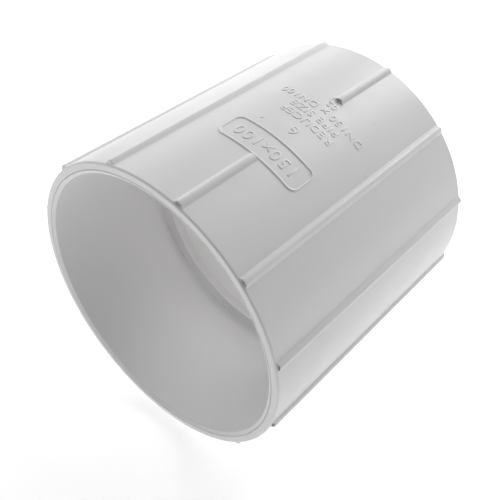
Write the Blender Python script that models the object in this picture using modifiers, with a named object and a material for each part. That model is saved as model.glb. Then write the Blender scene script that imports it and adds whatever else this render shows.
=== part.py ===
"""A bushed reducing coupling for solvent-weld PVC pipe, 6 inch to 4 inch.

Two mouldings: a ribbed coupling body with a socket in each end and a pipe stop between them, and a
flush reducer bush in the far socket. The coupling lies on its side. Its axis runs along Y, from the
large mouth at -Y to the bushed end at +Y, +Z is up, and the origin is on the axis at mid-length.
Each piece is turned about its own Z axis, which points towards the large mouth.
"""

import math

import bmesh
import bpy
from mathutils import Matrix, Vector

MM = 0.001
TURN_STEPS = 72

# Coupling body: outside diameter and length, then everything that follows from the radius.
BODY_RADIUS = 91.5 * MM
BODY_LENGTH = 181.6 * MM
HALF_LENGTH = BODY_LENGTH / 2
MOUTH_RADIUS = 0.923 * BODY_RADIUS
SOCKET_ROOT_RADIUS = 0.920 * BODY_RADIUS
RIM_INNER_RADIUS = 0.945 * BODY_RADIUS
STOP_BORE_RADIUS = 0.845 * BODY_RADIUS
STOP_THICKNESS = 6.0 * MM
LARGE_SOCKET_DEPTH = (BODY_LENGTH - STOP_THICKNESS) / 2
ENTRY_CHAMFER_DEPTH = 1.2 * MM
EDGE_ROUNDING = 0.7 * MM

# Grip ribs: round rods sunk into the wall, of which only the crests stand out. The coupling has
# rolled to rest on the lowest line of its wall and on the rib beside that line, opposite the first.
RIB_COUNT = 12
RIB_HEIGHT = 2.1 * MM
RIB_WIDTH = 5.9 * MM
RIB_ROD_RADIUS = (RIB_WIDTH**2 / 4 + RIB_HEIGHT**2) / (2 * RIB_HEIGHT)
RIB_ROD_PLACE = BODY_RADIUS + RIB_HEIGHT - RIB_ROD_RADIUS
RIB_SIDES = 20
RIB_SETBACK = 1.4 * MM
RIB_PITCH = 2 * math.pi / RIB_COUNT
FIRST_RIB_ANGLE = -math.acos((BODY_RADIUS - RIB_ROD_RADIUS) / RIB_ROD_PLACE)

# Raised frame for the marking, on the rib beside the top one, which stops to make room for it.
# Distances along the body are measured from the large mouth.
MARKED_RIB = 1
MARKING_START = 0.60 * BODY_RADIUS
MARKING_END = 1.41 * BODY_RADIUS
FRAME_START = 0.617 * BODY_RADIUS
FRAME_END = 0.829 * BODY_RADIUS
FRAME_HALF_WIDTH = 0.30 * BODY_RADIUS
FRAME_CORNER = 0.05 * BODY_RADIUS
FRAME_CORNER_POINTS = 4
FRAME_SIDE_POINTS = 12
BEAD_RADIUS = 0.9 * MM
BEAD_HEIGHT = 0.6 * MM

# Reducer bush: a spigot for the large socket, and a hub with the socket for the small pipe.
FIT_GAP = 0.33 * MM
BUSH_RADIUS = SOCKET_ROOT_RADIUS - FIT_GAP
BUSH_LENGTH = BODY_LENGTH - LARGE_SOCKET_DEPTH - STOP_THICKNESS - FIT_GAP
SPIGOT_CHAMFER = 2.0 * MM
SPIGOT_CHAMFER_LENGTH = 4.0 * MM
BUSH_WALL = 6.0 * MM
HUB_RADIUS = 63.8 * MM
HUB_MOUTH_RADIUS = 57.38 * MM
HUB_ROOT_RADIUS = 57.04 * MM
HUB_CHAMFER = 1.5 * MM
SMALL_SOCKET_DEPTH = 50.8 * MM
SMALL_BORE_RADIUS = 51.1 * MM
CONE_LENGTH = 20.0 * MM
CONE_WALL = 9.0 * MM
POCKET_DRAFT = 0.5 * MM
WEB_COUNT = 12
WEB_THICKNESS = 4.0 * MM
WEB_SETBACK = 3.0 * MM
WEB_BITE = 2.0 * MM


def clear_scene():
    for obj in list(bpy.data.objects):
        bpy.data.objects.remove(obj, do_unlink=True)
    for collection in list(bpy.data.collections):
        bpy.data.collections.remove(collection)


def new_collection(name):
    collection = bpy.data.collections.new(name)
    bpy.context.scene.collection.children.link(collection)
    return collection


def plastic(name, colour, roughness):
    material = bpy.data.materials.new(name)
    material.use_nodes = True
    shader = material.node_tree.nodes["Principled BSDF"]
    shader.inputs["Base Color"].default_value = (*colour, 1.0)
    shader.inputs["Roughness"].default_value = roughness
    shader.inputs["Metallic"].default_value = 0.0
    return material


def lay_down(obj, along=0.0):
    """Turn the piece's own +Z to -Y, and put its origin at this distance along the axis."""
    obj.location = (0.0, along, 0.0)
    obj.rotation_euler = (math.pi / 2, 0.0, 0.0)


def object_of(name, shape, collection):
    """An object that holds the bmesh's shape, which is freed."""
    mesh = bpy.data.meshes.new(name)
    shape.to_mesh(mesh)
    shape.free()
    obj = bpy.data.objects.new(name, mesh)
    collection.objects.link(obj)
    return obj


def turned(name, profile, collection):
    """A body turned from a closed outline of (radius, height) points, outer side first, top down."""
    shape = bmesh.new()
    points = [shape.verts.new((radius, 0.0, height)) for radius, height in profile]
    for start, end in zip(points, points[1:] + points[:1]):
        shape.edges.new((start, end))
    obj = object_of(name, shape, collection)
    screw = obj.modifiers.new("Turn", "SCREW")
    screw.axis = "Z"
    screw.angle = 2 * math.pi
    screw.steps = TURN_STEPS
    screw.render_steps = TURN_STEPS
    screw.use_merge_vertices = True
    screw.merge_threshold = 0.00001
    return obj


def join_to(obj, tool, name):
    """Make the tool's shape one with the object's."""
    tool.display_type = "WIRE"
    tool.hide_render = True
    union = obj.modifiers.new(name, "BOOLEAN")
    union.operation = "UNION"
    union.solver = "EXACT"
    union.object = tool


def shade_round(obj):
    """Round faces smooth, edges sharp, after the joins."""
    depsgraph = bpy.context.evaluated_depsgraph_get()
    mesh = bpy.data.meshes.new_from_object(obj.evaluated_get(depsgraph))
    obj.modifiers.clear()
    obj.data = mesh
    mesh.shade_smooth()
    mesh.set_sharp_from_angle(angle=math.radians(30))


def on_wall(radius, angle, height):
    """A point at this angle from straight up, towards +X, and this height along the piece's Z."""
    return Vector((radius * math.sin(angle), radius * math.cos(angle), height))


def body_profile():
    """From the large mouth down the outside, and back up through both sockets."""
    large_shoulder = HALF_LENGTH - LARGE_SOCKET_DEPTH
    far_shoulder = large_shoulder - STOP_THICKNESS
    return [
        (BODY_RADIUS - EDGE_ROUNDING, HALF_LENGTH),
        (BODY_RADIUS, HALF_LENGTH - EDGE_ROUNDING),
        (BODY_RADIUS, EDGE_ROUNDING - HALF_LENGTH),
        (BODY_RADIUS - EDGE_ROUNDING, -HALF_LENGTH),
        (RIM_INNER_RADIUS, -HALF_LENGTH),
        (MOUTH_RADIUS, ENTRY_CHAMFER_DEPTH - HALF_LENGTH),
        (SOCKET_ROOT_RADIUS, far_shoulder),
        (STOP_BORE_RADIUS, far_shoulder),
        (STOP_BORE_RADIUS, large_shoulder),
        (SOCKET_ROOT_RADIUS, large_shoulder),
        (MOUTH_RADIUS, HALF_LENGTH - ENTRY_CHAMFER_DEPTH),
        (RIM_INNER_RADIUS, HALF_LENGTH),
    ]


def add_rib(shape, angle, top, bottom):
    """A round rod along the wall, mostly inside it."""
    centre = on_wall(RIB_ROD_PLACE, angle, (top + bottom) / 2)
    bmesh.ops.create_cone(
        shape,
        cap_ends=True,
        segments=RIB_SIDES,
        radius1=RIB_ROD_RADIUS,
        radius2=RIB_ROD_RADIUS,
        depth=top - bottom,
        matrix=Matrix.Translation(centre) @ Matrix.Rotation(-angle, 4, "Z"),
    )


def grip_ribs(collection):
    """All the ribs in one tool. The marked rib leaves a space for the frame and the marking."""
    shape = bmesh.new()
    top = HALF_LENGTH - RIB_SETBACK
    for index in range(RIB_COUNT):
        angle = FIRST_RIB_ANGLE + index * RIB_PITCH
        if index == MARKED_RIB:
            add_rib(shape, angle, top, HALF_LENGTH - MARKING_START)
            add_rib(shape, angle, HALF_LENGTH - MARKING_END, -top)
        else:
            add_rib(shape, angle, top, -top)
    tool = object_of("grip_rib_rods", shape, collection)
    lay_down(tool)
    return tool


def frame_outline():
    """The frame's centre line, flat: (across, along) from the middle of the frame, anticlockwise."""
    half_length = (FRAME_END - FRAME_START) / 2
    corners = [
        (FRAME_HALF_WIDTH, half_length),
        (-FRAME_HALF_WIDTH, half_length),
        (-FRAME_HALF_WIDTH, -half_length),
        (FRAME_HALF_WIDTH, -half_length),
    ]
    outline = []
    for quarter, (across, along) in enumerate(corners):
        middle = Vector((across, along))
        middle -= Vector((math.copysign(FRAME_CORNER, across), math.copysign(FRAME_CORNER, along)))
        for step in range(FRAME_CORNER_POINTS + 1):
            turn = (quarter + step / FRAME_CORNER_POINTS) * math.pi / 2
            outline.append(middle + FRAME_CORNER * Vector((math.cos(turn), math.sin(turn))))
    return outline


def long_sides_divided(outline):
    """The outline with points added on its two long sides, which have to bend round the wall."""
    divided = []
    for start, end in zip(outline, outline[1:] + outline[:1]):
        is_long = abs(end.x - start.x) > FRAME_HALF_WIDTH
        steps = FRAME_SIDE_POINTS if is_long else 1
        divided += [start.lerp(end, step / steps) for step in range(steps)]
    return divided


def marking_frame(collection):
    """A thin bead bent round the wall in a rounded rectangle, as a tool to join to the body."""
    curve = bpy.data.curves.new("marking_frame_bead", "CURVE")
    curve.dimensions = "3D"
    curve.bevel_depth = BEAD_RADIUS
    curve.bevel_resolution = 2
    outline = long_sides_divided(frame_outline())
    spline = curve.splines.new("POLY")
    spline.points.add(len(outline) - 1)
    spline.use_cyclic_u = True
    centre_angle = FIRST_RIB_ANGLE + MARKED_RIB * RIB_PITCH
    centre_height = HALF_LENGTH - (FRAME_START + FRAME_END) / 2
    radius = BODY_RADIUS + BEAD_HEIGHT - BEAD_RADIUS
    for point, (across, along) in zip(spline.points, outline):
        place = on_wall(radius, centre_angle + across / BODY_RADIUS, centre_height + along)
        point.co = (*place, 1.0)
    curve_object = bpy.data.objects.new("bead_path", curve)
    collection.objects.link(curve_object)
    depsgraph = bpy.context.evaluated_depsgraph_get()
    mesh = bpy.data.meshes.new_from_object(curve_object.evaluated_get(depsgraph))
    bpy.data.objects.remove(curve_object)
    shape = bmesh.new()
    shape.from_mesh(mesh)
    bmesh.ops.remove_doubles(shape, verts=shape.verts, dist=0.00001)
    bmesh.ops.recalc_face_normals(shape, faces=shape.faces)
    bpy.data.meshes.remove(mesh)
    tool = object_of("marking_frame_tube", shape, collection)
    lay_down(tool)
    return tool


def make_body(parts, tools):
    body = turned("coupling_body", body_profile(), parts)
    lay_down(body)
    join_to(body, grip_ribs(tools), "Ribs")
    join_to(body, marking_frame(tools), "Frame")
    body.data.materials.append(plastic("white_pvc", (0.80, 0.80, 0.79), 0.38))
    return body


def pocket_floor(radius):
    """Height of the floor of the bush's pockets, which runs alongside the cone."""
    slope = CONE_LENGTH / (STOP_BORE_RADIUS - SMALL_BORE_RADIUS)
    return BUSH_LENGTH - (STOP_BORE_RADIUS - radius) * slope - CONE_WALL


def bush_profile():
    """From the inner end down the spigot, up and down the open pocket, and back up the hub's bore."""
    pocket_outer = BUSH_RADIUS - BUSH_WALL
    pocket_outer_root = pocket_outer - POCKET_DRAFT
    hub_root_outer = HUB_RADIUS + POCKET_DRAFT
    return [
        (BUSH_RADIUS - SPIGOT_CHAMFER, BUSH_LENGTH),
        (BUSH_RADIUS, BUSH_LENGTH - SPIGOT_CHAMFER_LENGTH),
        (BUSH_RADIUS, EDGE_ROUNDING),
        (BUSH_RADIUS - EDGE_ROUNDING, 0.0),
        (pocket_outer, 0.0),
        (pocket_outer_root, pocket_floor(pocket_outer_root)),
        (hub_root_outer, pocket_floor(hub_root_outer)),
        (HUB_RADIUS, 0.0),
        (HUB_MOUTH_RADIUS + HUB_CHAMFER, 0.0),
        (HUB_MOUTH_RADIUS, ENTRY_CHAMFER_DEPTH),
        (HUB_ROOT_RADIUS, SMALL_SOCKET_DEPTH),
        (SMALL_BORE_RADIUS, SMALL_SOCKET_DEPTH),
        (SMALL_BORE_RADIUS, BUSH_LENGTH - CONE_LENGTH),
        (STOP_BORE_RADIUS, BUSH_LENGTH),
    ]


def bush_webs(collection):
    """Radial webs between the hub and the spigot wall, with their ends sunk into both."""
    shape = bmesh.new()
    inner = HUB_RADIUS - WEB_BITE
    outer = BUSH_RADIUS - BUSH_WALL + WEB_BITE
    bottom = WEB_SETBACK
    top = pocket_floor(HUB_RADIUS) + WEB_BITE
    size = Vector((WEB_THICKNESS, outer - inner, top - bottom))
    for index in range(WEB_COUNT):
        angle = FIRST_RIB_ANGLE + index * 2 * math.pi / WEB_COUNT
        centre = on_wall((inner + outer) / 2, angle, (top + bottom) / 2)
        turn = Matrix.Rotation(-angle, 4, "Z")
        place = Matrix.Translation(centre) @ turn @ Matrix.Diagonal((*size, 1.0))
        bmesh.ops.create_cube(shape, size=1.0, matrix=place)
    tool = object_of("bush_web_plates", shape, collection)
    lay_down(tool, HALF_LENGTH)
    return tool


def make_bush(parts, tools):
    bush = turned("reducer_bush", bush_profile(), parts)
    lay_down(bush, HALF_LENGTH)
    join_to(bush, bush_webs(tools), "Webs")
    bush.data.materials.append(plastic("white_pvc_bush", (0.78, 0.78, 0.77), 0.40))
    return bush


def main():
    clear_scene()
    parts = new_collection("reducing_coupling")
    tools = new_collection("tools")
    pieces = [make_body(parts, tools), make_bush(parts, tools)]
    for piece in pieces:
        shade_round(piece)


main()
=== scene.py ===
"""Looks of the bushed reducing coupling: fine moulded meshes, white PVC, studio floor and light.

The frame gives the outer sizes. The coupling lies along Y with its large mouth at -Y, and its bush is in
the far end. Angles round the axis are measured from straight up towards +X, and distances along the
body from the large mouth.
"""

import math

import bmesh
import bpy
import numpy as np
from mathutils import Matrix, Vector


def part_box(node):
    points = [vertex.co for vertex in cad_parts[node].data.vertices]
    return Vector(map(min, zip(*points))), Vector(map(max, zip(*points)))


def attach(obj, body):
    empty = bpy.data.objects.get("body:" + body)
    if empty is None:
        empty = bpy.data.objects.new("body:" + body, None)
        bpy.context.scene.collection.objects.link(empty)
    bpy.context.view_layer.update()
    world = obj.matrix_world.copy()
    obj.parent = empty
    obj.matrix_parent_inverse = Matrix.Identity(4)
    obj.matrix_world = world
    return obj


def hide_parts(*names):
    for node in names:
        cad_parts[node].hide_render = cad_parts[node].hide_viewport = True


MM = 0.001
CORNER_SUPPORT = 0.25 * MM

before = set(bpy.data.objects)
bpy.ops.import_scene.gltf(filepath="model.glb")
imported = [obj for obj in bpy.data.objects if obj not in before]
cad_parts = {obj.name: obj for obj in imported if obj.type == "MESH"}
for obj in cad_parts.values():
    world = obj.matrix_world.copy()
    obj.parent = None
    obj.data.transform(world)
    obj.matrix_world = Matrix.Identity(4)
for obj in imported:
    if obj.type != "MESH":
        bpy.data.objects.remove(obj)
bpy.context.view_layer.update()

_, body_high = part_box("coupling_body")
bush_low, bush_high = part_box("reducer_bush")
RADIUS = body_high[0]
HALF_LENGTH = body_high[1]
BUSH_RADIUS = bush_high[0]
BUSH_START = bush_low[1]

# Coupling body
MOUTH_RADIUS = 0.923 * RADIUS
SOCKET_ROOT_RADIUS = 0.920 * RADIUS
RIM_INNER_RADIUS = 0.945 * RADIUS
RIM_EDGE_ROUNDING = 1.1 * MM
RIM_GROOVE_WIDTH = 0.90 * MM
RIM_GROOVE_DEPTH = 1.00 * MM
GROOVE_OUTER_ROUNDING = 0.15 * MM
GROOVE_ROOT_ROUNDING = 0.05 * MM
GROOVE_LIP_DROP = 0.10 * MM
GROOVE_LIP_ROUNDING = 0.10 * MM
STOP_BORE_RADIUS = 0.845 * RADIUS
STOP_THICKNESS = 6.0 * MM
STOP_EDGE_ROUNDING = 0.5 * MM
LIP_ROUNDING = 0.05 * MM
CHAMFER_DEPTH = 1.2 * MM
CHAMFER_ROUNDING = 0.8 * MM
SOCKET_ROOT_ROUNDING = 1.2 * MM
WALL_STEP = 6.0 * MM

# Ribs. The frame's ribs are rods sunk in the wall, and its part lies on one rib and on the wall
# beside it, which sets the angle of the first rib.
RIB_COUNT = 12
RIB_HEIGHT = 2.1 * MM
RIB_HALF_WIDTH = 2.95 * MM
RIB_ROOT_SOFTNESS = 0.30 * MM
RIB_SETBACK = 1.4 * MM
RIB_END_STEP = 0.12 * MM
RIB_END_ROUNDING = 0.7 * MM
RIB_END_STEEP_SHARE = 0.86
RIB_PITCH = 2 * math.pi / RIB_COUNT
RIB_ROD_RADIUS = (RIB_HALF_WIDTH**2 + RIB_HEIGHT**2) / (2 * RIB_HEIGHT)
FIRST_RIB_ANGLE = -math.acos(
    (RADIUS - RIB_ROD_RADIUS) / (RADIUS + RIB_HEIGHT - RIB_ROD_RADIUS)
)
MARKED_RIB = 1
MARKED_RIB_ANGLE = FIRST_RIB_ANGLE + MARKED_RIB * RIB_PITCH
MARKING_START = 0.60 * RADIUS
MARKING_END = 1.41 * RADIUS

# Blind hollows in the mouth ends of some ribs, and where the marked rib resumes
HOLLOW_RIBS = (1, 2, 3, 4)
HOLLOW_HALF_WIDTH = 1.95 * MM
HOLLOW_HALF_HEIGHT = 0.80 * MM
HOLLOW_MIDDLE = 0.86 * MM
HOLLOW_DEPTH = 3.2 * MM
HOLLOW_OVERRUN = 0.5 * MM

# Raised frame round the size marking
FRAME_MIDDLE = 0.723 * RADIUS
FRAME_HALF_LENGTH = 0.106 * RADIUS
FRAME_HALF_WIDTH = 0.30 * RADIUS
FRAME_CORNER = 0.05 * RADIUS
BEAD_HALF_WIDTH = 0.80 * MM
BEAD_HEIGHT = 0.58 * MM
BEAD_SOFTNESS = 0.10 * MM
BEAD_STEP = 0.22 * MM

# Raised lettering: text, then distance from the mouth and letter height in body radii
LETTERING = (
    ("150x100", 0.723, 0.086),
    ("6", 0.967, 0.085),
    ("REDUCER", 1.092, 0.060),
    ("PIPE SIZE", 1.178, 0.058),
    ("DN150 x DN100", 1.262, 0.058),
    ("02", 1.345, 0.050),
)
LETTER_RISE = 0.28 * MM
LETTER_ROOT = 0.60 * MM
LETTER_EDGE = 0.10 * MM
LETTER_SPACING = 1.12
CAPITAL_HEIGHT = 0.7  # of the type size

# Round witness marks of the mould: place round the body from the marked rib and distance from the
# mouth, in body radii, then radius and rise
GATE_MARKS = (
    (-0.20, 0.91, 0.9 * MM, 0.25 * MM),
    (0.47, 1.17, 1.3 * MM, 0.12 * MM),
    (0.25, 1.50, 1.3 * MM, 0.12 * MM),
)
GATE_MARK_FLARE = 1.12
ROUND_SEGMENTS = 28

# Reducer bush, measured from its outer face. It is drawn seated on the pipe stop, where the frame
# leaves a gap between the two.
SEATED_CLOSER = 0.30 * MM
BUSH_LENGTH = HALF_LENGTH - BUSH_START + SEATED_CLOSER
BUSH_WALL = 6.0 * MM
HUB_RADIUS = 63.8 * MM
HUB_MOUTH_RADIUS = 57.38 * MM
HUB_ROOT_RADIUS = 57.04 * MM
HUB_CHAMFER = 1.5 * MM
SMALL_SOCKET_DEPTH = 50.8 * MM
SMALL_BORE_RADIUS = 51.1 * MM
CONE_LENGTH = 20.0 * MM
CONE_WALL = 9.0 * MM
POCKET_DRAFT = 0.5 * MM
POCKET_ROOT_ROUNDING = 1.5 * MM
BUSH_EDGE_ROUNDING = 0.5 * MM
BUSH_LEAD_IN = (2.0 * MM, 4.0 * MM)
WEB_COUNT = 12
WEB_THICKNESS = 4.0 * MM
WEB_SETBACK = 3.0 * MM
WEB_BITE = 2.0 * MM
WEB_EDGE_ROUNDING = 0.8 * MM

# Plastic: base colour and the slightly darker tone of its flow marks
BODY_WHITE = ((0.805, 0.798, 0.799), (0.775, 0.768, 0.769))
# The bush's white is lighter than the body's white: painted light that brightens the bush's cone and
# stop seen inside the mouth.
BUSH_WHITE_WITH_PAINTED_LIGHT = ((0.90, 0.893, 0.891), (0.88, 0.873, 0.87))

# Camera, from the middle of the coupling, in body radii and degrees
CAMERA_AZIMUTH = 40.85
CAMERA_ELEVATION = 40.70
CAMERA_DISTANCE = 4.9993
CAMERA_AIM_RIGHT = -0.0445
CAMERA_AIM_UP = -0.1160
LENS_MM = 52.06

# Light panels: name, azimuth and elevation in degrees, width and height in metres, power in watts
LIGHT_DISTANCE = 1.5
WIDE = (1.1, 1.1)
LOW = (1.1, 0.8)
SMALL = (0.5, 0.5)
STRONG = 5.0
MEDIUM = 4.0
WEAK = 2.5
SOFTBOXES = (
    ("front", 270, 34, WIDE, STRONG),
    ("left", 180, 18, LOW, STRONG),
    ("through_bore", 90, 28, SMALL, STRONG),
    ("through_bore_high", 90, 40, SMALL, WEAK),
    ("low_left_behind", 135, 18, LOW, MEDIUM),
    ("right_behind", 60, 34, WIDE, MEDIUM),
    ("high_left", 180, 50, WIDE, MEDIUM),
    ("high_behind", 90, 50, WIDE, MEDIUM),
    ("left_behind", 120, 34, WIDE, WEAK),
    ("low_right_behind", 45, 18, LOW, WEAK),
    ("floor_edge_left", 130, 4, LOW, WEAK),
)
FLOOR_GLOW = 0.50


# Outlines and lathe

def rounded(outline, steps=4):
    """A closed outline of (radius, along, rounding) with its corners as arcs and a point beside each."""
    points = []
    count = len(outline)
    for index, (radius, along, rounding) in enumerate(outline):
        corner = Vector((radius, along))
        before = Vector(outline[index - 1][:2]) - corner
        after = Vector(outline[(index + 1) % count][:2]) - corner
        half_turn = before.angle(after) / 2
        reach = rounding / math.tan(half_turn)
        start = corner + before.normalized() * reach
        end = corner + after.normalized() * reach
        centre = corner + (before.normalized() + after.normalized()).normalized() * (
            rounding / math.sin(half_turn)
        )
        points.append(start + before.normalized() * min(CORNER_SUPPORT, before.length / 8))
        sweep = (start - centre).angle_signed(end - centre)
        for step in range(steps + 1):
            turned = (start - centre).copy()
            turned.rotate(Matrix.Rotation(-sweep * step / steps, 2))
            points.append(centre + turned)
        points.append(end + after.normalized() * min(CORNER_SUPPORT, after.length / 8))
    return points


def closed_surface(name, radii, alongs, angles):
    """A ring-shaped solid from a grid: rows go round the section, columns round the axis."""
    rows, columns = radii.shape
    x = radii * np.sin(angles)[None, :]
    z = radii * np.cos(angles)[None, :]
    y = np.repeat(alongs[:, None], columns, axis=1)
    points = np.stack([x, y, z], axis=2).reshape(-1, 3)
    row = np.arange(rows)[:, None]
    column = np.arange(columns)[None, :]
    next_row = (row + 1) % rows
    next_column = (column + 1) % columns
    faces = np.stack(
        [
            row * columns + column,
            row * columns + next_column,
            next_row * columns + next_column,
            next_row * columns + column,
        ],
        axis=2,
    ).reshape(-1, 4)
    mesh = bpy.data.meshes.new(name)
    mesh.from_pydata(points.tolist(), [], faces.tolist())
    shape = bmesh.new()
    shape.from_mesh(mesh)
    bmesh.ops.recalc_face_normals(shape, faces=shape.faces)
    shape.to_mesh(mesh)
    shape.free()
    obj = bpy.data.objects.new(name, mesh)
    bpy.context.scene.collection.objects.link(obj)
    return obj


def combine(obj, tool, operation="UNION"):
    """Join the tool to the object, or cut the object with it, as one solid, and remove the tool."""
    modifier = obj.modifiers.new("Combine", "BOOLEAN")
    modifier.operation = operation
    modifier.solver = "EXACT"
    modifier.object = tool
    depsgraph = bpy.context.evaluated_depsgraph_get()
    mesh = bpy.data.meshes.new_from_object(obj.evaluated_get(depsgraph))
    obj.modifiers.clear()
    old = obj.data
    if len(mesh.vertices) <= len(old.vertices):
        raise RuntimeError(f"{tool.name} did not change {obj.name}")
    obj.data = mesh
    bpy.data.meshes.remove(old)
    bpy.data.objects.remove(tool)


def solid(name, shape):
    """An object made from a bmesh, which is freed."""
    mesh = bpy.data.meshes.new(name)
    shape.to_mesh(mesh)
    shape.free()
    obj = bpy.data.objects.new(name, mesh)
    bpy.context.scene.collection.objects.link(obj)
    return obj


def shade(obj, angle=35):
    """Smooth shading with sharp edges where faces meet at more than this angle, in degrees."""
    obj.data.shade_smooth()
    obj.data.set_sharp_from_angle(angle=math.radians(angle))


# Coupling body

def wrapped(angle):
    """The same angle between -pi and pi."""
    return (angle + math.pi) % (2 * math.pi) - math.pi


def soft_top(height, softness):
    """The height where it is above nothing, with a soft join to the wall."""
    return 0.5 * (height + np.sqrt(height * height + softness * softness))


def rib_crest(offset):
    """Height of a rib at this distance across it."""
    height = RIB_HEIGHT * (1 - (offset / RIB_HALF_WIDTH) ** 2)
    crest = soft_top(height, RIB_ROOT_SOFTNESS)
    return np.where(np.abs(offset) < 1.6 * RIB_HALF_WIDTH, crest, 0.0)


def rib_run(distance, start, end):
    """How much of a rib is there at this distance along the body: steep, slightly rounded ends."""
    inside = np.minimum(distance - start, end - distance)
    steep = np.clip(inside / RIB_END_STEP, 0.0, 1.0)
    round_over = np.clip((inside - RIB_END_STEP) / RIB_END_ROUNDING, 0.0, 1.0)
    arc = np.sqrt(1 - (1 - round_over) ** 2)
    return RIB_END_STEEP_SHARE * steep + (1 - RIB_END_STEEP_SHARE) * arc


def ribs(angle, distance):
    """Rise of the ribs over the wall."""
    length = 2 * HALF_LENGTH
    rise = np.zeros(np.broadcast(angle, distance).shape)
    for index in range(RIB_COUNT):
        offset = RADIUS * wrapped(angle - FIRST_RIB_ANGLE - index * RIB_PITCH)
        if index == MARKED_RIB:
            run = rib_run(distance, RIB_SETBACK, MARKING_START)
            run = run + rib_run(distance, MARKING_END, length - RIB_SETBACK)
        else:
            run = rib_run(distance, RIB_SETBACK, length - RIB_SETBACK)
        rise = rise + rib_crest(offset) * run
    return rise


def frame_bead(angle, distance):
    """Rise of the rounded-rectangle bead round the size marking."""
    across = np.abs(RADIUS * wrapped(angle - MARKED_RIB_ANGLE)) - (FRAME_HALF_WIDTH - FRAME_CORNER)
    along = np.abs(distance - FRAME_MIDDLE) - (FRAME_HALF_LENGTH - FRAME_CORNER)
    outside = np.hypot(np.maximum(across, 0), np.maximum(along, 0))
    inside = np.minimum(np.maximum(across, along), 0)
    offset = outside + inside - FRAME_CORNER
    height = BEAD_HEIGHT * (1 - (offset / BEAD_HALF_WIDTH) ** 2)
    near = np.abs(offset) < 2.2 * BEAD_HALF_WIDTH
    return np.where(near, soft_top(height, BEAD_SOFTNESS), 0.0)


def spread(start, end, step):
    """Evenly spaced values from start up to, but not including, end."""
    count = max(1, math.ceil((end - start) / step - 1e-6))
    return [start + (end - start) * index / count for index in range(count)]


def column_angles():
    """Angles round the body: close together on the ribs and on the frame's ends."""
    half = RIB_HALF_WIDTH
    offsets = [0, 0.2, 0.4, 0.58, 0.73, 0.85, 0.94, 1.02, 1.12, 1.28, 1.6]
    offsets = [-half * o for o in offsets[:0:-1]] + [half * o for o in offsets]
    angles = []
    for index in range(RIB_COUNT):
        centre = FIRST_RIB_ANGLE + index * RIB_PITCH
        angles += [centre + offset / RADIUS for offset in offsets]
        start = centre + offsets[-1] / RADIUS
        end = centre + RIB_PITCH + offsets[0] / RADIUS
        angles += spread(start, end, math.radians(2.0))[1:]
    for side in (-1, 1):
        middle = FRAME_HALF_WIDTH - FRAME_CORNER / 2
        reach = FRAME_CORNER / 2 + 2 * BEAD_HALF_WIDTH
        low = MARKED_RIB_ANGLE + (side * middle - reach) / RADIUS
        high = MARKED_RIB_ANGLE + (side * middle + reach) / RADIUS
        angles = [angle for angle in angles if not low < angle < high]
        angles += spread(low, high, BEAD_STEP / RADIUS) + [high]
    return np.array(sorted(angles))


def wall_distances():
    """Distances from the mouth along the outer wall: close at rib ends and on the frame."""
    rib_end = [0.0, 0.12, 0.22, 0.40, 0.82]
    length = 2 * HALF_LENGTH
    far_end = length - RIB_SETBACK
    stops = [RIB_SETBACK + step * MM for step in rib_end]
    stops += [MARKING_START - step * MM for step in reversed(rib_end)]
    for side in (-1, 1):
        middle = FRAME_MIDDLE + side * (FRAME_HALF_LENGTH - FRAME_CORNER / 2)
        reach = FRAME_CORNER / 2 + 2 * BEAD_HALF_WIDTH
        stops += spread(middle - reach, middle + reach, BEAD_STEP) + [middle + reach]
    stops += [MARKING_END + step * MM for step in rib_end]
    stops += [far_end - step * MM for step in reversed(rib_end)]
    stops = sorted(stops)
    full = []
    for start, end in zip(stops, stops[1:]):
        full += spread(start, end, WALL_STEP)
    return full + [stops[-1]]


def rim(end, side):
    """The section of a rim from its outer edge to the socket wall: face, fine groove and chamfer."""
    groove = RIM_INNER_RADIUS + RIM_GROOVE_WIDTH / 2
    return [
        (RADIUS, end, RIM_EDGE_ROUNDING),
        (groove + RIM_GROOVE_WIDTH / 2, end, GROOVE_OUTER_ROUNDING),
        (groove, end + side * RIM_GROOVE_DEPTH, GROOVE_ROOT_ROUNDING),
        (RIM_INNER_RADIUS, end + side * GROOVE_LIP_DROP, GROOVE_LIP_ROUNDING),
        (MOUTH_RADIUS, end + side * CHAMFER_DEPTH, CHAMFER_ROUNDING),
    ]


def body_outline():
    """The section from the far end of the outer wall, through the sockets, to its near end."""
    shoulder = STOP_THICKNESS / 2
    return [
        *rim(HALF_LENGTH, -1),
        (SOCKET_ROOT_RADIUS, shoulder, SOCKET_ROOT_ROUNDING),
        (STOP_BORE_RADIUS, shoulder, LIP_ROUNDING),
        (STOP_BORE_RADIUS, -shoulder, STOP_EDGE_ROUNDING),
        (SOCKET_ROOT_RADIUS, -shoulder, SOCKET_ROOT_ROUNDING),
        *reversed(rim(-HALF_LENGTH, 1)),
    ]


def body_shell():
    """The body's surface: the turned inside, and the outside with its ribs and frame."""
    inner = rounded(body_outline())
    wall = wall_distances()
    angles = column_angles()
    radii = [np.full(len(angles), point.x) for point in inner]
    alongs = [point.y for point in inner]
    for distance in wall:
        rise = ribs(angles, np.full(len(angles), distance))
        rise = rise + frame_bead(angles, np.full(len(angles), distance))
        radii.append(RADIUS + rise)
        alongs.append(distance - HALF_LENGTH)
    return closed_surface("coupling_body_moulding", np.array(radii), np.array(alongs), angles)


def wrap_on_wall(mesh, distance):
    """Bend a flat drawing onto the wall: it reads away from +X, and its tops point to the mouth."""
    for vertex in mesh.vertices:
        x, y, z = vertex.co
        angle = MARKED_RIB_ANGLE - x / RADIUS
        radius = RADIUS - LETTER_ROOT + z
        along = distance - HALF_LENGTH - y
        vertex.co = (radius * math.sin(angle), along, radius * math.cos(angle))


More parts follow.
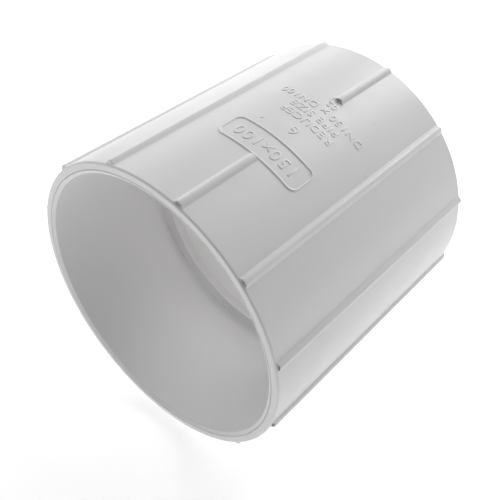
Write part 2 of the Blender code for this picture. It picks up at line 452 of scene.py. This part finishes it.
def raised_line(text, distance, height):
    """One line of raised letters on the wall, as a mesh object."""
    curve = bpy.data.curves.new(f"letters_{text}", "FONT")
    curve.body = text
    curve.align_x = "CENTER"
    curve.align_y = "CENTER"
    curve.size = height / CAPITAL_HEIGHT
    curve.space_character = LETTER_SPACING
    curve.resolution_u = 3
    curve.offset = -LETTER_EDGE / 2
    curve.bevel_depth = LETTER_EDGE
    curve.bevel_resolution = 1
    curve.extrude = (LETTER_RISE + LETTER_ROOT) / 2 - LETTER_EDGE
    obj = bpy.data.objects.new("letters", curve)
    bpy.context.scene.collection.objects.link(obj)
    depsgraph = bpy.context.evaluated_depsgraph_get()
    mesh = bpy.data.meshes.new_from_object(obj.evaluated_get(depsgraph))
    bpy.data.objects.remove(obj)
    shape = bmesh.new()
    shape.from_mesh(mesh)
    bmesh.ops.remove_doubles(shape, verts=shape.verts, dist=0.001 * MM)
    bmesh.ops.translate(shape, verts=shape.verts, vec=(0, 0, (LETTER_RISE + LETTER_ROOT) / 2))
    bmesh.ops.recalc_face_normals(shape, faces=shape.faces)
    shape.to_mesh(mesh)
    shape.free()
    wrap_on_wall(mesh, distance)
    letters = bpy.data.objects.new("letters", mesh)
    bpy.context.scene.collection.objects.link(letters)
    return letters


def gate_mark(offset, distance, radius, rise):
    """A small round witness mark of the mould on the outer wall."""
    shape = bmesh.new()
    angle = MARKED_RIB_ANGLE + offset / RADIUS
    depth = LETTER_ROOT + rise
    middle = RADIUS + rise - depth / 2
    place = Vector((middle * math.sin(angle), distance - HALF_LENGTH, middle * math.cos(angle)))
    turn = Matrix.Rotation(angle, 4, "Y")
    bmesh.ops.create_cone(
        shape,
        cap_ends=True,
        segments=ROUND_SEGMENTS,
        radius1=radius * GATE_MARK_FLARE,
        radius2=radius,
        depth=depth,
        matrix=Matrix.Translation(place) @ turn,
    )
    return solid("gate_mark", shape)


def rib_end_hollows():
    """One tool that cuts all the blind hollows in the rib ends."""
    shape = bmesh.new()
    turn_to_axis = Matrix.Rotation(math.pi / 2, 4, "X")
    flatten = Matrix.Diagonal((HOLLOW_HALF_WIDTH, 1.0, HOLLOW_HALF_HEIGHT, 1.0))
    starts = [(index, RIB_SETBACK) for index in HOLLOW_RIBS] + [(MARKED_RIB, MARKING_END)]
    for index, start in starts:
        angle = FIRST_RIB_ANGLE + index * RIB_PITCH
        radius = RADIUS + HOLLOW_MIDDLE
        along = start - HALF_LENGTH + (HOLLOW_DEPTH - HOLLOW_OVERRUN) / 2
        place = Vector((radius * math.sin(angle), along, radius * math.cos(angle)))
        bmesh.ops.create_cone(
            shape,
            cap_ends=True,
            segments=ROUND_SEGMENTS,
            radius1=1.0,
            radius2=1.0,
            depth=HOLLOW_DEPTH + HOLLOW_OVERRUN,
            matrix=Matrix.Translation(place)
            @ Matrix.Rotation(angle, 4, "Y")
            @ flatten
            @ turn_to_axis,
        )
    return solid("rib_end_hollows", shape)


def make_body():
    """The coupling body with its hollows, lettering and witness marks."""
    body = body_shell()
    combine(body, rib_end_hollows(), "DIFFERENCE")
    for text, distance, height in LETTERING:
        combine(body, raised_line(text, distance * RADIUS, height * RADIUS))
    for offset, distance, radius, rise in GATE_MARKS:
        combine(body, gate_mark(offset * RADIUS, distance * RADIUS, radius, rise))
    shade(body)
    return body


# Reducer bush

def pocket_floor(radius):
    """Where the floor of the bush's pockets is, from its outer face; it runs alongside the cone."""
    slope = CONE_LENGTH / (STOP_BORE_RADIUS - SMALL_BORE_RADIUS)
    return BUSH_LENGTH - (STOP_BORE_RADIUS - radius) * slope - CONE_WALL


def bush_outline():
    """The bush's section from its inner end, round the outside and the pocket, to the cone's lip."""
    pocket_outer = BUSH_RADIUS - BUSH_WALL
    pocket_root = pocket_outer - POCKET_DRAFT
    hub_root = HUB_RADIUS + POCKET_DRAFT
    lead_in_depth, lead_in_length = BUSH_LEAD_IN
    section = [
        (BUSH_RADIUS - lead_in_depth, BUSH_LENGTH, 0.4 * MM),
        (BUSH_RADIUS, BUSH_LENGTH - lead_in_length, 1.0 * MM),
        (BUSH_RADIUS, 0.0, BUSH_EDGE_ROUNDING),
        (pocket_outer, 0.0, BUSH_EDGE_ROUNDING),
        (pocket_root, pocket_floor(pocket_root), POCKET_ROOT_ROUNDING),
        (hub_root, pocket_floor(hub_root), POCKET_ROOT_ROUNDING),
        (HUB_RADIUS, 0.0, BUSH_EDGE_ROUNDING),
        (HUB_MOUTH_RADIUS + HUB_CHAMFER, 0.0, 0.20 * MM),
        (HUB_MOUTH_RADIUS, CHAMFER_DEPTH, CHAMFER_ROUNDING),
        (HUB_ROOT_RADIUS, SMALL_SOCKET_DEPTH, 1.0 * MM),
        (SMALL_BORE_RADIUS, SMALL_SOCKET_DEPTH, 0.6 * MM),
        (SMALL_BORE_RADIUS, BUSH_LENGTH - CONE_LENGTH, 3.0 * MM),
        (STOP_BORE_RADIUS, BUSH_LENGTH, LIP_ROUNDING),
    ]
    return [(radius, HALF_LENGTH - depth, rounding) for radius, depth, rounding in section]


def bush_web(angle):
    """A radial plate between hub and wall, with the long edges of its outer face rounded."""
    inner = HUB_RADIUS - WEB_BITE
    outer = BUSH_RADIUS - BUSH_WALL + WEB_BITE
    shallow = WEB_SETBACK
    deep = pocket_floor(HUB_RADIUS) + WEB_BITE
    shape = bmesh.new()
    size = Matrix.Diagonal((WEB_THICKNESS, deep - shallow, outer - inner, 1.0))
    bmesh.ops.create_cube(shape, size=1.0, matrix=size)
    long_edges = [
        edge
        for edge in shape.edges
        if all(vertex.co.y > 0 for vertex in edge.verts)
        and abs(edge.verts[0].co.z - edge.verts[1].co.z) > WEB_THICKNESS
    ]
    bmesh.ops.bevel(
        shape, geom=long_edges, offset=WEB_EDGE_ROUNDING, segments=3, affect="EDGES", profile=0.5
    )
    middle = (inner + outer) / 2
    along = HALF_LENGTH - (shallow + deep) / 2
    place = Vector((middle * math.sin(angle), along, middle * math.cos(angle)))
    bmesh.ops.transform(
        shape, verts=shape.verts, matrix=Matrix.Translation(place) @ Matrix.Rotation(angle, 4, "Y")
    )
    return solid("web", shape)


def make_bush():
    """The bush: a turned shape with radial webs in its pocket."""
    outline = rounded(bush_outline())
    angles = np.array(spread(-math.pi, math.pi, math.radians(1.5)))
    radii = np.array([np.full(len(angles), point.x) for point in outline])
    alongs = np.array([point.y for point in outline])
    bush = closed_surface("reducer_bush_moulding", radii, alongs, angles)
    for index in range(WEB_COUNT):
        combine(bush, bush_web(FIRST_RIB_ANGLE + index * 2 * math.pi / WEB_COUNT))
    shade(bush)
    return bush


# Materials

def pvc(name, colour, shadow_colour):
    """Semi-gloss white moulded PVC: faint flow tone, fine texture, scuffs and a painted highlight on
    sharp edges.
    """
    material = bpy.data.materials.new(name)
    material.use_nodes = True
    nodes = material.node_tree.nodes
    links = material.node_tree.links
    shader = nodes["Principled BSDF"]
    shader.inputs["IOR"].default_value = 1.53
    shader.inputs["Metallic"].default_value = 0.0
    place = nodes.new("ShaderNodeTexCoord")

    def noise(scale, detail, roughness=0.5, stretch=(1, 1, 1)):
        mapping = nodes.new("ShaderNodeMapping")
        mapping.inputs["Scale"].default_value = stretch
        links.new(place.outputs["Object"], mapping.inputs["Vector"])
        texture = nodes.new("ShaderNodeTexNoise")
        texture.inputs["Scale"].default_value = scale
        texture.inputs["Detail"].default_value = detail
        texture.inputs["Roughness"].default_value = roughness
        links.new(mapping.outputs["Vector"], texture.inputs["Vector"])
        return texture.outputs["Fac"]

    def ramp(source, low, high, low_value, high_value):
        node = nodes.new("ShaderNodeMapRange")
        node.inputs["From Min"].default_value = low
        node.inputs["From Max"].default_value = high
        node.inputs["To Min"].default_value = low_value
        node.inputs["To Max"].default_value = high_value
        links.new(source, node.inputs["Value"])
        return node.outputs["Result"]

    def mixed(factor, first, second):
        node = nodes.new("ShaderNodeMix")
        node.data_type = "RGBA"
        links.new(factor, node.inputs["Factor"])
        for socket, value in ((node.inputs[6], first), (node.inputs[7], second)):
            if isinstance(value, tuple):
                socket.default_value = (*value, 1.0)
            else:
                links.new(value, socket)
        return node.outputs[2]

    flow = ramp(noise(9.0, 3.0, stretch=(1, 0.35, 1)), 0.35, 0.70, 0.0, 1.0)
    tone = mixed(flow, colour, shadow_colour)
    # Sharp convex edges are painted lighter here: a painted edge highlight.
    geometry = nodes.new("ShaderNodeNewGeometry")
    edge = ramp(geometry.outputs["Pointiness"], 0.52, 0.62, 0.0, 0.45)
    tone = mixed(edge, tone, tuple(min(1.0, c * 1.06) for c in colour))
    grime = ramp(noise(60.0, 4.0), 0.66, 0.80, 0.0, 0.10)
    tone = mixed(grime, tone, tuple(c * 0.80 for c in shadow_colour))
    links.new(tone, shader.inputs["Base Color"])

    scuffs = noise(38.0, 6.0, 0.62, stretch=(1, 3.0, 1))
    links.new(ramp(scuffs, 0.30, 0.72, 0.34, 0.47), shader.inputs["Roughness"])

    waves = nodes.new("ShaderNodeBump")
    waves.inputs["Strength"].default_value = 0.25
    waves.inputs["Distance"].default_value = 0.0006
    links.new(noise(28.0, 2.0), waves.inputs["Height"])
    grain = nodes.new("ShaderNodeBump")
    grain.inputs["Strength"].default_value = 0.12
    grain.inputs["Distance"].default_value = 0.00006
    links.new(noise(1800.0, 2.0), grain.inputs["Height"])
    links.new(waves.outputs["Normal"], grain.inputs["Normal"])
    links.new(grain.outputs["Normal"], shader.inputs["Normal"])
    return material


def give(piece, body, node, material):
    """Give the piece its material, the body it rides on and the frame node it replaces."""
    piece.data.materials.clear()
    piece.data.materials.append(material)
    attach(piece, body)
    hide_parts(node)


# Studio

def make_floor():
    """A pale matt floor that glows a little, so that it stays white in the picture."""
    bpy.ops.mesh.primitive_plane_add(size=8.0, location=(0, 0, -RADIUS))
    floor = bpy.context.object
    floor.name = "studio_floor"
    material = bpy.data.materials.new("pale_floor")
    material.use_nodes = True
    shader = material.node_tree.nodes["Principled BSDF"]
    shader.inputs["Base Color"].default_value = (0.97, 0.97, 0.97, 1.0)
    shader.inputs["Roughness"].default_value = 0.9
    shader.inputs["Emission Color"].default_value = (1.0, 1.0, 1.0, 1.0)
    shader.inputs["Emission Strength"].default_value = FLOOR_GLOW
    floor.data.materials.append(material)


def softbox(name, azimuth, elevation, size, power):
    """A light panel that faces the coupling from this direction, azimuth from +X towards +Y."""
    azimuth, elevation = math.radians(azimuth), math.radians(elevation)
    toward = Vector(
        (
            math.cos(azimuth) * math.cos(elevation),
            math.sin(azimuth) * math.cos(elevation),
            math.sin(elevation),
        )
    )
    light = bpy.data.lights.new(name, "AREA")
    light.shape = "RECTANGLE"
    light.size, light.size_y = size
    light.energy = power
    panel = bpy.data.objects.new(name, light)
    panel.location = LIGHT_DISTANCE * toward
    panel.rotation_euler = (-toward).to_track_quat("-Z", "Y").to_euler()
    panel.visible_camera = False
    bpy.context.scene.collection.objects.link(panel)


def make_lights():
    """Soft panels, and a world that is white to the camera and adds no light."""
    for panel in SOFTBOXES:
        softbox(*panel)
    world = bpy.data.worlds.new("studio")
    world.use_nodes = True
    nodes = world.node_tree.nodes
    background = nodes["Background"]
    background.inputs["Color"].default_value = (1.0, 1.0, 1.0, 1.0)
    path = nodes.new("ShaderNodeLightPath")
    world.node_tree.links.new(path.outputs["Is Camera Ray"], background.inputs["Strength"])
    bpy.context.scene.world = world


def make_camera():
    """The camera at its viewing angle, aimed near the middle of the coupling."""
    azimuth = math.radians(CAMERA_AZIMUTH)
    elevation = math.radians(CAMERA_ELEVATION)
    right = Vector((math.cos(azimuth), math.sin(azimuth), 0))
    away = Vector((-math.sin(azimuth), math.cos(azimuth), 0)) * math.cos(elevation)
    away.z = -math.sin(elevation)
    up = right.cross(away)
    aim = RADIUS * (CAMERA_AIM_RIGHT * right + CAMERA_AIM_UP * up)
    data = bpy.data.cameras.new("camera")
    data.lens = LENS_MM
    data.sensor_width = 36
    data.clip_start = 0.01
    camera = bpy.data.objects.new("camera", data)
    camera.location = aim - CAMERA_DISTANCE * RADIUS * away
    camera.rotation_euler = away.to_track_quat("-Z", "Y").to_euler()
    bpy.context.scene.collection.objects.link(camera)
    bpy.context.scene.camera = camera


def main():
    """Build the pieces and the studio."""
    bpy.context.scene.view_settings.view_transform = "Standard"
    body = make_body()
    bush = make_bush()
    give(body, "coupling", "coupling_body", pvc("white_pvc", *BODY_WHITE))
    # The bush gets the lighter white, which is painted light.
    give(bush, "bush", "reducer_bush", pvc("white_pvc_bush", *BUSH_WHITE_WITH_PAINTED_LIGHT))
    make_floor()
    make_lights()
    make_camera()


main()
